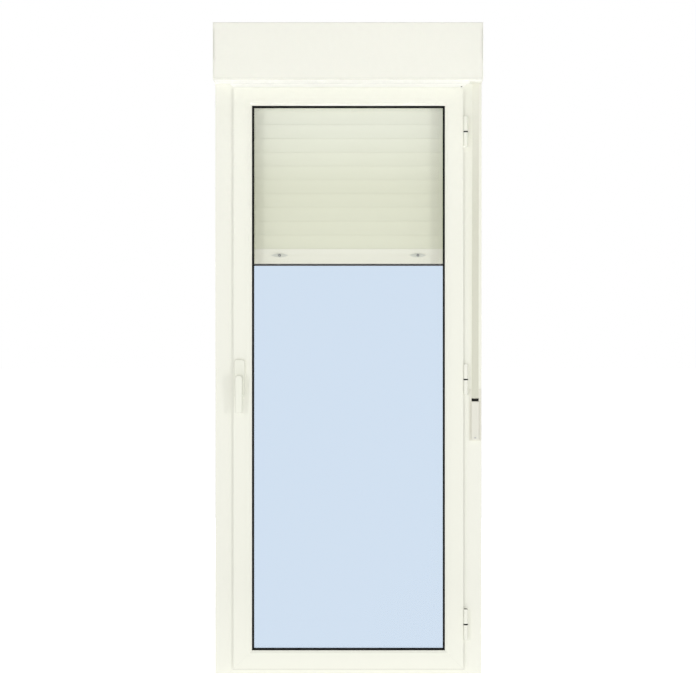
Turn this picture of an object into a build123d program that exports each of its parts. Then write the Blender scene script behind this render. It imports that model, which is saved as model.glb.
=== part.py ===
from build123d import *

import os
from math import ceil

# Aluminium balcony door with one inward-opening leaf, a roller shutter box on top and a strap winder.
# Millimetres. X runs along the width, +Y points outdoors, +Z is up.
# The origin is on the underside of the sill, at the middle of its length and depth.

# Overall sizes
OVERALL_WIDTH = 900.0
FRAME_HEIGHT = 2000.0
WALL = 1.6

# Fixed frame: a hollow profile with a closing lip on the outdoor side
FRAME_DEPTH = 50.0
FRAME_TUBE = 24.0
FRAME_LIP = 20.0
FRAME_LIP_DEPTH = 12.0
POST_WIDTH = 44.0
FIXING_RADIUS = 4.0
FIXING_DEPTH = -5.0
FIXING_END = 250.0
FIXING_RISE = 100.0
POST_LIP = 8.0
DRAIN_LENGTH = 28.0
DRAIN_WIDTH = 5.0
DRAIN_END = 160.0

# Leaf: a hollow profile with an overlap flange indoors and a glazing leg outdoors
FRAME_SIGHT = 18.0
LEAF_PROUD = 11.0
LEAF_GAP = 5.0
CHAMBER_GAP = 13.0
LEAF_TUBE = 23.0
FLANGE_THICK = 2.0
FLANGE_LIP = 6.0
GROOVE_WIDTH = 16.0
GROOVE_DEPTH = 4.0
GROOVE_OFFSET = 14.0
GROOVE_LIP = 2.5
GROOVE_LIP_THICK = 1.5
GASKET_CLEAR = 0.4
LEAF_GASKET_WIDTH = 5.0
FRAME_GASKET_WIDTH = 6.0
FRAME_GASKET_INSET = 0.5

# Glazing
BEAD_WIDTH = 20.0
BEAD_BEVEL = 8.5
BEAD_BEVEL_DROP = 4.0
BEAD_WALL = 1.4
BEAD_SEAM = 0.15
LEG_THICK = 2.0
PANE = 4.0
PANE_GAP = 12.0
GLASS_BITE = 14.0
INNER_GASKET = 5.0
OUTER_GASKET = 4.0
GASKET_SHOW = 7.0
GASKET_SEAT = 5.0
GASKET_STEP = 0.3
SPACER_HEIGHT = 8.0
SPACER_INSET = 2.0

# Hinges: barrels in front of the frame face, beside the edge of the leaf
HINGE_END = 169.0
HINGE_DROP = 5.0
HINGE_RADIUS = 7.5
HINGE_KNUCKLE = 49.0
HINGE_WASHER = 4.6
HINGE_SLIP = 0.2
HINGE_EDGE_GAP = 0.5
HINGE_FACE_GAP = 5.5
HINGE_PLATE = 3.0
HINGE_PLATE_DEPTH = 21.0
HINGE_ARM_GAP = 1.0
HINGE_NECK = 8.0
PIN_RADIUS = 3.5
PIN_CLEAR = 0.05
PIN_LENGTH = 34.0

# Handle
HANDLE_HEIGHT = 998.0
HANDLE_BASE_WIDTH = 36.0
HANDLE_BASE_HEIGHT = 130.0
HANDLE_BASE_THICK = 10.0
HANDLE_BASE_CORNER = 10.0
HANDLE_BASE_BEVEL = 2.5
LEVER_HEAD_RADIUS = 12.5
LEVER_REACH = 115.0
LEVER_TIP_WIDTH = 23.0
LEVER_TIP_ROUND = 5.0
LEVER_THICK = 14.0
LEVER_TIP_THICK = 9.0
LEVER_STAND_OFF = 26.0
LEVER_NECK_RADIUS = 9.0
LEVER_SLIP = 0.3
LEVER_BEVEL = 3.0
SPINDLE_RADIUS = 5.0
SPINDLE_CLEAR = 0.08
SPINDLE_DEPTH = 8.0

# Shutter guides, on the outdoor face of the posts
GUIDE_WIDTH = 60.0
GUIDE_DEPTH = 45.0
GUIDE_SLOT = 12.0
GUIDE_SLOT_DEPTH = 28.0
GUIDE_SLOT_OFFSET = 18.0
BRUSH_INSET = 4.0
BRUSH_BASE = 5.0
BRUSH_DEPTH = 1.2
BRUSH_CLEAR = 0.1

# Shutter curtain
SLAT_PITCH = 47.2
SLAT_BAND = 6.0
SLAT_BOW = 1.0
SLAT_SEAM = 0.4
SLAT_END_CLEAR = 6.0
HOOK_STEM = 2.0
HOOK_HEAD = 3.4
HOOK_HEAD_HEIGHT = 2.2
HOOK_CLEAR = 0.4
HOOK_MOUTH = 2.0
HOOK_CAVITY = 6.0
HOOK_SEAT = 0.3
SHUTTER_DROP = 610.0
BAR_HEIGHT = 50.5
BAR_THICK = 10.0
BAR_GROOVE = 1.5
BAR_GROOVE_HEIGHT = 28.5
SEAL_HEIGHT = 7.0
SEAL_FOOT = 4.0
SEAL_FOOT_DEPTH = 5.0
SEAL_CLEAR = 0.2
STOP_SPACING = 472.0
STOP_LENGTH = 58.0
STOP_WIDTH = 14.0
STOP_WING = 3.0
STOP_KNOB_RADIUS = 5.5
STOP_KNOB_LENGTH = 11.0

# Shutter box
BOX_HEIGHT = 190.0
BOX_LAP = 5.0
BOX_DEPTH = 190.0
BOX_PANEL = 8.0
BOX_SKIN = 1.4
BOX_CELLS = 4
BOX_CAP = 3.0
BOX_EDGE_ROUND = 3.0
LID_SEAM = 0.4
LID_RELIEF = 1.0
LID_RELIEF_LENGTH = 100.0
LID_RELIEF_RISE = 22.0
CURTAIN_SLOT = 14.0
AXLE_ACROSS = 60.0
AXLE_WALL = 1.2
AXLE_PIN_RADIUS = 6.0
AXLE_PIN_CLEAR = 0.2
AXLE_PLUG = 12.0
BEARING_WIDTH = 28.0
BEARING_LENGTH = 4.0
ROLL_CLEAR = 0.3

# Lifting strap, its drum and eye, and the winder in the right post
STRAP_WIDTH = 22.0
STRAP_THICK = 1.3
STRAP_CLEAR = 1.0
DRUM_RADIUS = 34.0
STRAP_GUIDE_LENGTH = 40.0
STRAP_GUIDE_WIDTH = 26.0
STRAP_GUIDE_THICK = 3.0
STRAP_GUIDE_SLOT = 6.0
STRAP_HOLE = 14.0
WINDER_HEIGHT = 875.5
WINDER_WIDTH = 40.0
WINDER_LENGTH = 176.0
WINDER_PLATE = 3.0
WINDER_CORNER = 3.0
COVER_WIDTH = 27.4
COVER_LENGTH = 131.0
COVER_FOOT = 3.0
COVER_RISE = 9.0
COVER_ROUND = 3.5
COVER_WALL = 2.0
WINDOW_HEIGHT = 12.0
POCKET_WIDTH = 28.0
STRAP_TAIL = 18.0

# Places that follow from the sizes above
INSIDE = -FRAME_DEPTH / 2
OUTSIDE = FRAME_DEPTH / 2
FRAME_HALF = OVERALL_WIDTH / 2 - POST_WIDTH
LEAF_EDGE = FRAME_SIGHT
TUBE_EDGE = FRAME_TUBE + CHAMBER_GAP
REBATE_EDGE = TUBE_EDGE + LEAF_TUBE
SIGHT_EDGE = REBATE_EDGE + BEAD_WIDTH
GLASS_EDGE = SIGHT_EDGE - GLASS_BITE
LEAF_FACE = INSIDE - LEAF_PROUD
LEAF_BACK = OUTSIDE - FRAME_LIP_DEPTH - LEAF_GAP
GLASS_OUT = LEAF_BACK - LEG_THICK - OUTER_GASKET
GLASS_IN = GLASS_OUT - 2 * PANE - PANE_GAP
BEAD_BACK = GLASS_IN - INNER_GASKET
LEAF_HALF = FRAME_HALF - LEAF_EDGE
MIDDLE = FRAME_HEIGHT / 2
FIXING_HEIGHTS = (FIXING_END, MIDDLE + FIXING_RISE, FRAME_HEIGHT - FIXING_END)
HINGE_HEIGHTS = (HINGE_END, MIDDLE - HINGE_DROP, FRAME_HEIGHT - HINGE_END)
HINGE_X = LEAF_HALF + HINGE_EDGE_GAP + HINGE_RADIUS
HINGE_Y = INSIDE - HINGE_FACE_GAP - HINGE_RADIUS
HANDLE_X = -FRAME_HALF + (LEAF_EDGE + REBATE_EDGE) / 2
GUIDE_BACK = OUTSIDE + GUIDE_DEPTH
CURTAIN_Y = OUTSIDE + GUIDE_SLOT_OFFSET + GUIDE_SLOT / 2
CURTAIN_HALF = OVERALL_WIDTH / 2 - GUIDE_WIDTH + GUIDE_SLOT_DEPTH - SLAT_END_CLEAR
BAR_BOTTOM = FRAME_HEIGHT - SHUTTER_DROP
BAR_TOP = BAR_BOTTOM + BAR_HEIGHT
BOX_FLOOR = FRAME_HEIGHT - BOX_LAP
BOX_TOP = BOX_FLOOR + BOX_HEIGHT
BOX_FRONT = GUIDE_BACK - BOX_DEPTH
BOX_INSIDE_HALF = OVERALL_WIDTH / 2 - BOX_CAP
AXLE_Y = (BOX_FRONT + GUIDE_BACK) / 2
AXLE_Z = BOX_FLOOR + BOX_HEIGHT / 2
STRAP_X = OVERALL_WIDTH / 2 - POST_WIDTH / 2
STRAP_Y = AXLE_Y - DRUM_RADIUS - STRAP_THICK / 2
WINDER_FACE = INSIDE - WINDER_PLATE
COVER_TOP = WINDER_HEIGHT - WINDER_LENGTH / 2 + COVER_FOOT + COVER_LENGTH
WINDOW_TOP = COVER_TOP + WINDOW_HEIGHT


def rectangle(x0, y0, x1, y1):
    """A rectangle between two corners."""
    return Polygon((x0, y0), (x1, y0), (x1, y1), (x0, y1), align=None)


def block(low, high):
    """A box between its lowest and highest corners."""
    size = [b - a for a, b in zip(low, high)]
    return Pos(*low) * Box(*size, align=(Align.MIN, Align.MIN, Align.MIN))


def along_x(section, half_length, middle=0.0):
    """Runs a section drawn as (y, z) along X, to both sides of the middle."""
    plane = Plane(origin=(middle - half_length, 0, 0), x_dir=(0, 1, 0), z_dir=(1, 0, 0))
    return extrude(plane * section, amount=2 * half_length, dir=(1, 0, 0))


def upright(section, bottom, top):
    """Runs a section drawn as (x, y) upwards."""
    return extrude(Plane.XY.offset(bottom) * section, amount=top - bottom, dir=(0, 0, 1))


def mitred(section, length, reach):
    """A length of profile with both ends cut at 45 degrees. The section is drawn as (inwards, depth)."""
    outline = Polygon((0, 0), (reach, reach), (reach, length - reach), (0, length), align=None)
    cutter = extrude(Plane.XZ * outline, amount=2 * BOX_DEPTH, both=True)
    return extrude(section, amount=length, dir=(0, 0, 1)) & cutter


def ring(section, reach):
    """Four mitred lengths round the frame's outer rectangle: left, top, right and bottom."""
    places = {
        "left": Plane(origin=(-FRAME_HALF, 0, 0), x_dir=(1, 0, 0), z_dir=(0, 0, 1)),
        "top": Plane(origin=(-FRAME_HALF, 0, FRAME_HEIGHT), x_dir=(0, 0, -1), z_dir=(1, 0, 0)),
        "right": Plane(origin=(FRAME_HALF, 0, FRAME_HEIGHT), x_dir=(-1, 0, 0), z_dir=(0, 0, -1)),
        "bottom": Plane(origin=(FRAME_HALF, 0, 0), x_dir=(0, 0, 1), z_dir=(-1, 0, 0)),
    }
    sides = {}
    for side, plane in places.items():
        length = FRAME_HEIGHT if side in ("left", "right") else 2 * FRAME_HALF
        sides[side] = plane.location * mitred(section, length, reach)
    return sides


def joined_ring(section, reach):
    """The same four lengths joined at the corners, as a seal is."""
    left, top, right, bottom = ring(section, reach).values()
    return left + top + right + bottom


def frame_section():
    """Hollow frame tube with a hollow lip that the leaf closes against."""
    reach = FRAME_TUBE + FRAME_LIP
    lip_face = OUTSIDE - FRAME_LIP_DEPTH
    outer = Polygon(
        (0, INSIDE), (FRAME_TUBE, INSIDE), (FRAME_TUBE, lip_face),
        (reach, lip_face), (reach, OUTSIDE), (0, OUTSIDE), align=None,
    )
    tube = rectangle(WALL, INSIDE + WALL, FRAME_TUBE - WALL, OUTSIDE - WALL)
    lip = rectangle(FRAME_TUBE, lip_face + WALL, reach - WALL, OUTSIDE - WALL)
    return outer - tube - lip


def leaf_section():
    """Hollow leaf tube with its overlap flange, hardware groove and outer glazing leg."""
    groove_low = LEAF_FACE + GROOVE_OFFSET
    groove_high = groove_low + GROOVE_WIDTH
    groove_floor = TUBE_EDGE + GROOVE_DEPTH
    lip_under = TUBE_EDGE + GROOVE_LIP_THICK
    flange_back = LEAF_FACE + FLANGE_THICK
    lip_back = LEAF_FACE + FLANGE_LIP
    leg_face = LEAF_BACK - LEG_THICK
    outer = Polygon(
        (LEAF_EDGE, LEAF_FACE), (REBATE_EDGE, LEAF_FACE), (REBATE_EDGE, leg_face),
        (SIGHT_EDGE, leg_face), (SIGHT_EDGE, LEAF_BACK), (TUBE_EDGE, LEAF_BACK),
        (TUBE_EDGE, groove_high - GROOVE_LIP), (lip_under, groove_high - GROOVE_LIP),
        (lip_under, groove_high), (groove_floor, groove_high),
        (groove_floor, groove_low), (lip_under, groove_low),
        (lip_under, groove_low + GROOVE_LIP), (TUBE_EDGE, groove_low + GROOVE_LIP),
        (TUBE_EDGE, flange_back), (LEAF_EDGE + FLANGE_THICK, flange_back),
        (LEAF_EDGE + FLANGE_THICK, lip_back), (LEAF_EDGE, lip_back), align=None,
    )
    near, far = TUBE_EDGE + WALL, REBATE_EDGE - WALL
    chamber = Polygon(
        (near, LEAF_FACE + WALL), (far, LEAF_FACE + WALL), (far, LEAF_BACK - WALL),
        (near, LEAF_BACK - WALL), (near, groove_high + WALL),
        (groove_floor + WALL, groove_high + WALL), (groove_floor + WALL, groove_low - WALL),
        (near, groove_low - WALL), align=None,
    )
    return outer - chamber


def bead_section():
    """Hollow glazing bead with a bevelled nose."""
    start = REBATE_EDGE + BEAD_SEAM
    bevel = SIGHT_EDGE - BEAD_BEVEL
    outer = Polygon(
        (start, LEAF_FACE), (bevel, LEAF_FACE), (SIGHT_EDGE, LEAF_FACE + BEAD_BEVEL_DROP),
        (SIGHT_EDGE, BEAD_BACK), (start, BEAD_BACK), align=None,
    )
    return outer - offset(outer, amount=-BEAD_WALL, kind=Kind.INTERSECTION)


def inner_gasket_section():
    """Black wedge between bead and glass, with a lip that shows round the pane."""
    tip = SIGHT_EDGE + GASKET_SHOW
    rise = BEAD_BACK - INNER_GASKET / 2
    return Polygon(
        (SIGHT_EDGE - GASKET_SEAT, GLASS_IN), (tip, GLASS_IN), (tip - GASKET_SHOW / 3, rise),
        (SIGHT_EDGE + GASKET_STEP, rise), (SIGHT_EDGE + GASKET_STEP, BEAD_BACK),
        (SIGHT_EDGE - GASKET_SEAT, BEAD_BACK), align=None,
    )


def outer_gasket_section():
    """Outdoor glazing seal between the glazing leg and the glass."""
    return rectangle(SIGHT_EDGE - GASKET_SEAT, GLASS_OUT, SIGHT_EDGE, LEAF_BACK - LEG_THICK)


def spacer_section():
    """Spacer bar between the two panes."""
    start = GLASS_EDGE + SPACER_INSET
    return rectangle(start, GLASS_IN + PANE, start + SPACER_HEIGHT, GLASS_OUT - PANE)


def pane(front):
    """One glass pane with its front face at the given depth."""
    half = FRAME_HALF - GLASS_EDGE
    return block((-half, front, GLASS_EDGE), (half, front + PANE, FRAME_HEIGHT - GLASS_EDGE))


def frame_gasket():
    """Seal on the frame's lip that the back of the leaf presses on."""
    face = OUTSIDE - FRAME_LIP_DEPTH
    start = FRAME_TUBE + FRAME_LIP - FRAME_GASKET_INSET - FRAME_GASKET_WIDTH
    middle = start + FRAME_GASKET_WIDTH / 2
    section = Polygon(
        (start, face), (start + FRAME_GASKET_WIDTH, face),
        (middle, LEAF_BACK + GASKET_CLEAR), align=None,
    )
    return joined_ring(section, REBATE_EDGE)


def leaf_gasket():
    """Seal behind the overlap flange, cut away where the hinge arms pass."""
    start = LEAF_EDGE + FLANGE_THICK
    back = LEAF_FACE + FLANGE_THICK
    section = rectangle(start, back, start + LEAF_GASKET_WIDTH, INSIDE - GASKET_CLEAR)
    seal = joined_ring(section, REBATE_EDGE)
    notch = HINGE_KNUCKLE + HINGE_WASHER
    for height in HINGE_HEIGHTS:
        seal -= block((0, LEAF_FACE, height - notch), (FRAME_HALF, INSIDE, height + notch))
    return seal


def fixing_holes(shape):
    """Drills the holes for the frame screws through both jambs or posts."""
    for height in FIXING_HEIGHTS:
        drill = Cylinder(FIXING_RADIUS, 2 * OVERALL_WIDTH)
        shape -= Pos(0, FIXING_DEPTH, height) * Rot(0, 90, 0) * drill
    return shape


def side_post(side):
    """Widening profile on the frame's side, open towards the jamb, drilled for the wall screws."""
    outer = rectangle(FRAME_HALF, INSIDE, OVERALL_WIDTH / 2, OUTSIDE)
    inner = rectangle(
        FRAME_HALF + WALL, INSIDE + WALL, OVERALL_WIDTH / 2 - WALL, OUTSIDE - WALL
    )
    mouth = rectangle(FRAME_HALF, INSIDE + POST_LIP, FRAME_HALF + WALL, OUTSIDE - POST_LIP)
    post = fixing_holes(upright(outer - inner - mouth, 0, BOX_FLOOR))
    return post if side > 0 else mirror(post, about=Plane.YZ)


def shutter_guide(side):
    """Guide channel with an open slot for the ends of the slats."""
    inner_edge = OVERALL_WIDTH / 2 - GUIDE_WIDTH
    slot_end = inner_edge + GUIDE_SLOT_DEPTH
    slot_low = OUTSIDE + GUIDE_SLOT_OFFSET
    slot_high = slot_low + GUIDE_SLOT
    near, far = OUTSIDE + WALL, GUIDE_BACK - WALL
    section = rectangle(inner_edge, OUTSIDE, OVERALL_WIDTH / 2, GUIDE_BACK)
    section -= rectangle(inner_edge, slot_low, slot_end, slot_high)
    brush_edge = inner_edge + BRUSH_INSET
    section -= rectangle(
        brush_edge, slot_low - BRUSH_DEPTH, brush_edge + BRUSH_BASE, slot_high + BRUSH_DEPTH
    )
    web = BRUSH_DEPTH + WALL
    section -= rectangle(inner_edge + WALL, near, slot_end, slot_low - web)
    section -= rectangle(inner_edge + WALL, slot_high + web, slot_end, far)
    section -= rectangle(slot_end + WALL, near, OVERALL_WIDTH / 2 - WALL, far)
    guide = upright(section, 0, BOX_FLOOR)
    return guide if side > 0 else mirror(guide, about=Plane.YZ)


def guide_brushes():
    """Plush strips in the grooves of both guides, one on each side of the curtain."""
    edge = OVERALL_WIDTH / 2 - GUIDE_WIDTH + BRUSH_INSET
    pile = (GUIDE_SLOT - BAR_THICK) / 2 - BRUSH_CLEAR
    strips = []
    for face, way in ((CURTAIN_Y - GUIDE_SLOT / 2, 1), (CURTAIN_Y + GUIDE_SLOT / 2, -1)):
        low, high = sorted((face - way * (BRUSH_DEPTH - BRUSH_CLEAR), face + way * pile))
        section = rectangle(edge + BRUSH_CLEAR, low, edge + BRUSH_BASE - BRUSH_CLEAR, high)
        strip = upright(section, 0, BOX_FLOOR)
        strips += [strip, mirror(strip, about=Plane.YZ)]
    return Compound(children=strips)


def hook_points(base):
    """The tongue on top of a slat or bar, drawn as (y, z) from its outdoor foot to its indoor foot."""
    stem, head = HOOK_STEM / 2, HOOK_HEAD / 2
    under = base + SLAT_SEAM + HOOK_MOUTH + HOOK_SEAT
    top = under + HOOK_HEAD_HEIGHT
    return [
        (stem, base), (stem, under), (head, under), (head, top),
        (-head, top), (-head, under), (-stem, under), (-stem, base),
    ]


def hook_socket():
    """The hollow in the foot of a slat that the tongue below hangs in, drawn as (y, z) from the foot."""
    mouth = HOOK_STEM / 2 + HOOK_CLEAR
    cavity = HOOK_HEAD / 2 + HOOK_CLEAR
    return rectangle(-mouth, 0, mouth, HOOK_MOUTH) + rectangle(
        -cavity, HOOK_MOUTH, cavity, HOOK_MOUTH + HOOK_CAVITY
    )


def slat_section():
    """A bowed foam-filled slat, convex outdoors, with a tongue on top and a socket in its foot."""
    height = SLAT_PITCH - SLAT_SEAM
    front, back = -(SLAT_BAND + SLAT_BOW) / 2, (SLAT_BAND - SLAT_BOW) / 2
    outdoors = ThreePointArc((back, 0), (back + SLAT_BOW, height / 2), (back, height))
    tongue = Polyline((back, height), *hook_points(height), (front, height))
    indoors = ThreePointArc((front, height), (front + SLAT_BOW, height / 2), (front, 0))
    foot = Line((front, 0), (back, 0))
    return make_face(outdoors + tongue + indoors + foot) - hook_socket()


def shutter_slats():
    """The hanging slats, from the bottom bar up past the roll in the box."""
    count = ceil((AXLE_Z - BAR_TOP) / SLAT_PITCH)
    slats = []
    for index in range(count):
        foot = BAR_TOP + SLAT_SEAM + index * SLAT_PITCH
        slats.append(along_x(Pos(CURTAIN_Y, foot) * slat_section(), CURTAIN_HALF))
    return Compound(children=slats)


def bottom_bar():
    """The heavy last bar of the curtain, hollow, with a line along its indoor face and a seal slot."""
    half = BAR_THICK / 2
    groove_low = BAR_GROOVE_HEIGHT - BAR_GROOVE / 2
    groove_high = BAR_GROOVE_HEIGHT + BAR_GROOVE / 2
    outline = Polygon(
        (half, 0), (half, BAR_HEIGHT), *hook_points(BAR_HEIGHT), (-half, BAR_HEIGHT),
        (-half, groove_high), (BAR_GROOVE - half, groove_high),
        (BAR_GROOVE - half, groove_low), (-half, groove_low), (-half, 0), align=None,
    )
    slot_half = SEAL_FOOT / 2 + SEAL_CLEAR
    slot = rectangle(-slot_half, 0, slot_half, SEAL_FOOT_DEPTH + SEAL_CLEAR)
    chamber_foot = SEAL_FOOT_DEPTH + SEAL_CLEAR + WALL
    low = rectangle(WALL - half, chamber_foot, half - WALL, groove_low - WALL)
    high = rectangle(WALL - half, groove_high + WALL, half - WALL, BAR_HEIGHT - WALL)
    section = outline - slot - low - high
    return along_x(Pos(CURTAIN_Y, BAR_BOTTOM) * section, CURTAIN_HALF)


def bottom_seal():
    """Black rubber strip under the bottom bar, with a foot held in the bar's slot."""
    half = BAR_THICK / 2
    foot = rectangle(-SEAL_FOOT / 2, -SEAL_HEIGHT / 2, SEAL_FOOT / 2, SEAL_FOOT_DEPTH)
    pad = Polygon(
        (half, 0), (-half, 0), (-half, -SEAL_HEIGHT / 2), (-half / 2, -SEAL_HEIGHT),
        (half / 2, -SEAL_HEIGHT), (half, -SEAL_HEIGHT / 2), align=None,
    )
    return along_x(Pos(CURTAIN_Y, BAR_BOTTOM) * (foot + pad), CURTAIN_HALF)


def shutter_stops():
    """Two stops screwed on the bottom bar: a lens-shaped wing with a round knob."""
    face = CURTAIN_Y - BAR_THICK / 2
    lens = make_face(
        ThreePointArc((-STOP_LENGTH / 2, 0), (0, STOP_WIDTH / 2), (STOP_LENGTH / 2, 0))
        + ThreePointArc((STOP_LENGTH / 2, 0), (0, -STOP_WIDTH / 2), (-STOP_LENGTH / 2, 0))
    )
    bottom = Align.CENTER, Align.CENTER, Align.MIN
    knob = Cylinder(STOP_KNOB_RADIUS, STOP_KNOB_LENGTH, align=bottom)
    stop = extrude(lens, amount=STOP_WING) + knob
    stops = []
    for x in (-STOP_SPACING / 2, STOP_SPACING / 2):
        spot = Plane(
            origin=(x, face, BAR_BOTTOM + BAR_GROOVE_HEIGHT), x_dir=(1, 0, 0), z_dir=(0, -1, 0)
        )
        stops.append(spot.location * stop)
    return Compound(children=stops)


def cellular_panel(low, high):
    """Section of an extruded panel drawn as (y, z): two skins with a row of hollow cells between."""
    section = rectangle(*low, *high)
    upright_panel = high[1] - low[1] > high[0] - low[0]
    start, end = (low[1], high[1]) if upright_panel else (low[0], high[0])
    pitch = (end - start - BOX_SKIN) / BOX_CELLS
    for cell in range(BOX_CELLS):
        first = start + BOX_SKIN + cell * pitch
        last = first + pitch - BOX_SKIN
        if upright_panel:
            section -= rectangle(low[0] + BOX_SKIN, first, high[0] - BOX_SKIN, last)
        else:
            section -= rectangle(first, low[1] + BOX_SKIN, last, high[1] - BOX_SKIN)
    return section


def box_lid():
    """Front lid of the box, with rounded edges and a shallow relief at each end to pull it off by."""
    half = BOX_INSIDE_HALF - LID_SEAM
    section = cellular_panel((BOX_FRONT, BOX_FLOOR), (BOX_FRONT + BOX_PANEL, BOX_TOP))
    section = fillet(section.vertices().group_by(Axis.X)[0], BOX_EDGE_ROUND)
    lid = along_x(section, half)
    middle = BOX_FLOOR + BOX_HEIGHT / 2 + LID_RELIEF_RISE
    for x in (-half, half - LID_RELIEF):
        lid -= block(
            (x, BOX_FRONT, middle - LID_RELIEF_LENGTH / 2),
            (x + LID_RELIEF, BOX_FRONT + BOX_PANEL / 2, middle + LID_RELIEF_LENGTH / 2),
        )
    return lid


def box_top():
    """Top panel, behind the lid."""
    section = cellular_panel((BOX_FRONT + BOX_PANEL, BOX_TOP - BOX_PANEL), (GUIDE_BACK, BOX_TOP))
    return along_x(section, BOX_INSIDE_HALF)


def box_back():
    """Outdoor panel with a short return under the curtain slot."""
    face = GUIDE_BACK - BOX_PANEL
    section = cellular_panel((face, BOX_FLOOR), (GUIDE_BACK, BOX_TOP - BOX_PANEL))
    slot_edge = CURTAIN_Y + CURTAIN_SLOT / 2
    section += rectangle(slot_edge, BOX_FLOOR, face, BOX_FLOOR + BOX_SKIN)
    return along_x(section, BOX_INSIDE_HALF)


def box_bottom():
    """Bottom panel from the lid to the curtain slot, notched to sit on the frame's head."""
    top = BOX_FLOOR + BOX_PANEL
    section = cellular_panel(
        (BOX_FRONT + BOX_PANEL, BOX_FLOOR), (CURTAIN_Y - CURTAIN_SLOT / 2, top)
    )
    section += rectangle(INSIDE - BOX_SKIN, BOX_FLOOR, OUTSIDE + BOX_SKIN, top)
    panel = along_x(section, BOX_INSIDE_HALF)
    panel -= block((-FRAME_HALF, INSIDE, BOX_FLOOR), (FRAME_HALF, OUTSIDE, FRAME_HEIGHT))
    strap_hole = Box(STRAP_WIDTH + 2 * STRAP_CLEAR, STRAP_HOLE, 4 * BOX_PANEL)
    return panel - Pos(STRAP_X, STRAP_Y, BOX_FLOOR) * strap_hole


def box_cap(side):
    """End cap with the bearing boss that the axle turns in."""
    outside = OVERALL_WIDTH / 2
    section = rectangle(BOX_FRONT, BOX_FLOOR, GUIDE_BACK, BOX_TOP)
    section = fillet(section.vertices().group_by(Axis.X)[0], BOX_EDGE_ROUND)
    cap = along_x(section, BOX_CAP / 2, outside - BOX_CAP / 2)
    reach = BOX_CAP + BEARING_LENGTH
    cap += Pos(outside - reach / 2, AXLE_Y, AXLE_Z) * Box(reach, BEARING_WIDTH, BEARING_WIDTH)
    socket = Pos(outside - BOX_CAP - BEARING_LENGTH / 2, AXLE_Y, AXLE_Z) * Rot(0, 90, 0)
    cap -= socket * Cylinder(AXLE_PIN_RADIUS + AXLE_PIN_CLEAR, BEARING_LENGTH)
    return cap if side > 0 else mirror(cap, about=Plane.YZ)


def octagon(half_across):
    """An eight-sided section with flats to the front, the back, the top and the bottom."""
    return RegularPolygon(half_across, 8, major_radius=False, rotation=180 / 8)


def shutter_axle():
    """Eight-sided steel tube with a plug and pin in each end, and the drum that the strap winds on."""
    length = 2 * (BOX_INSIDE_HALF - BEARING_LENGTH - STRAP_CLEAR)
    bore = octagon(AXLE_ACROSS / 2 - AXLE_WALL)
    axle = extrude(octagon(AXLE_ACROSS / 2), amount=length / 2, both=True)
    axle -= extrude(bore, amount=length / 2 - AXLE_PLUG, both=True)
    axle += Cylinder(AXLE_PIN_RADIUS, 2 * BOX_INSIDE_HALF)
    drum = Circle(DRUM_RADIUS) - octagon(AXLE_ACROSS / 2 - AXLE_WALL / 2)
    axle += Pos(0, 0, STRAP_X) * extrude(drum, amount=STRAP_WIDTH / 2 + STRAP_CLEAR, both=True)
    return Pos(0, AXLE_Y, AXLE_Z) * Rot(0, 90, 0) * axle


def shutter_roll():
    """The wound-up part of the curtain, eight-sided like the axle. The hanging slats lie on one flat."""
    slat_front = CURTAIN_Y - (SLAT_BAND + SLAT_BOW) / 2
    wound = octagon(slat_front - ROLL_CLEAR - AXLE_Y) - octagon(AXLE_ACROSS / 2)
    roll = extrude(wound, amount=CURTAIN_HALF, both=True)
    return Pos(0, AXLE_Y, AXLE_Z) * Rot(0, 90, 0) * roll


def strap_guide():
    """Plastic eye under the box that the strap runs through."""
    top = BOX_FLOOR
    eye = Pos(STRAP_X, STRAP_Y, top - STRAP_GUIDE_THICK / 2) * Box(
        STRAP_GUIDE_LENGTH, STRAP_GUIDE_WIDTH, STRAP_GUIDE_THICK
    )
    return eye - Pos(STRAP_X, STRAP_Y, top) * Box(
        STRAP_WIDTH + 2 * STRAP_CLEAR, STRAP_GUIDE_SLOT, 4 * STRAP_GUIDE_THICK
    )


def lifting_strap():
    """Woven strap from the drum down through the eye, then to the window of the winder and in."""
    bend = WINDOW_TOP - STRAP_CLEAR
    front = WINDER_FACE - STRAP_THICK
    tail = (WINDER_FACE + STRAP_TAIL, bend - STRAP_TAIL / 3)
    route = FilletPolyline(
        (STRAP_Y, AXLE_Z), (STRAP_Y, BOX_FLOOR - STRAP_GUIDE_THICK), (front, bend), tail,
        radius=STRAP_GUIDE_THICK,
    )
    section = trace(route, STRAP_THICK)
    return along_x(section, STRAP_WIDTH / 2, STRAP_X)


def winder_plate():
    """Winder face plate on the right post, with the window that the strap goes in by."""
    spot = Plane(origin=(STRAP_X, INSIDE, WINDER_HEIGHT), x_dir=(1, 0, 0), z_dir=(0, -1, 0))
    outline = RectangleRounded(WINDER_WIDTH, WINDER_LENGTH, WINDER_CORNER)
    plate = extrude(spot * outline, amount=WINDER_PLATE)
    half = STRAP_WIDTH / 2 + STRAP_CLEAR
    return plate - block(
        (STRAP_X - half, WINDER_FACE, COVER_TOP), (STRAP_X + half, INSIDE, WINDOW_TOP)
    )


def winder_cover():
    """Raised hollow cover on the winder plate."""
    foot = COVER_TOP - COVER_LENGTH
    low = (STRAP_X - COVER_WIDTH / 2, WINDER_FACE - COVER_RISE, foot)
    high = (STRAP_X + COVER_WIDTH / 2, WINDER_FACE, COVER_TOP)
    cover = block(low, high)
    front = cover.faces().sort_by(Axis.Y)[0]
    cover = fillet(front.edges(), COVER_ROUND)
    hollow_low = [a + COVER_WALL for a in low]
    hollow_high = (high[0] - COVER_WALL, WINDER_FACE, high[2] - COVER_WALL)
    return cover - block(hollow_low, hollow_high)


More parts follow.
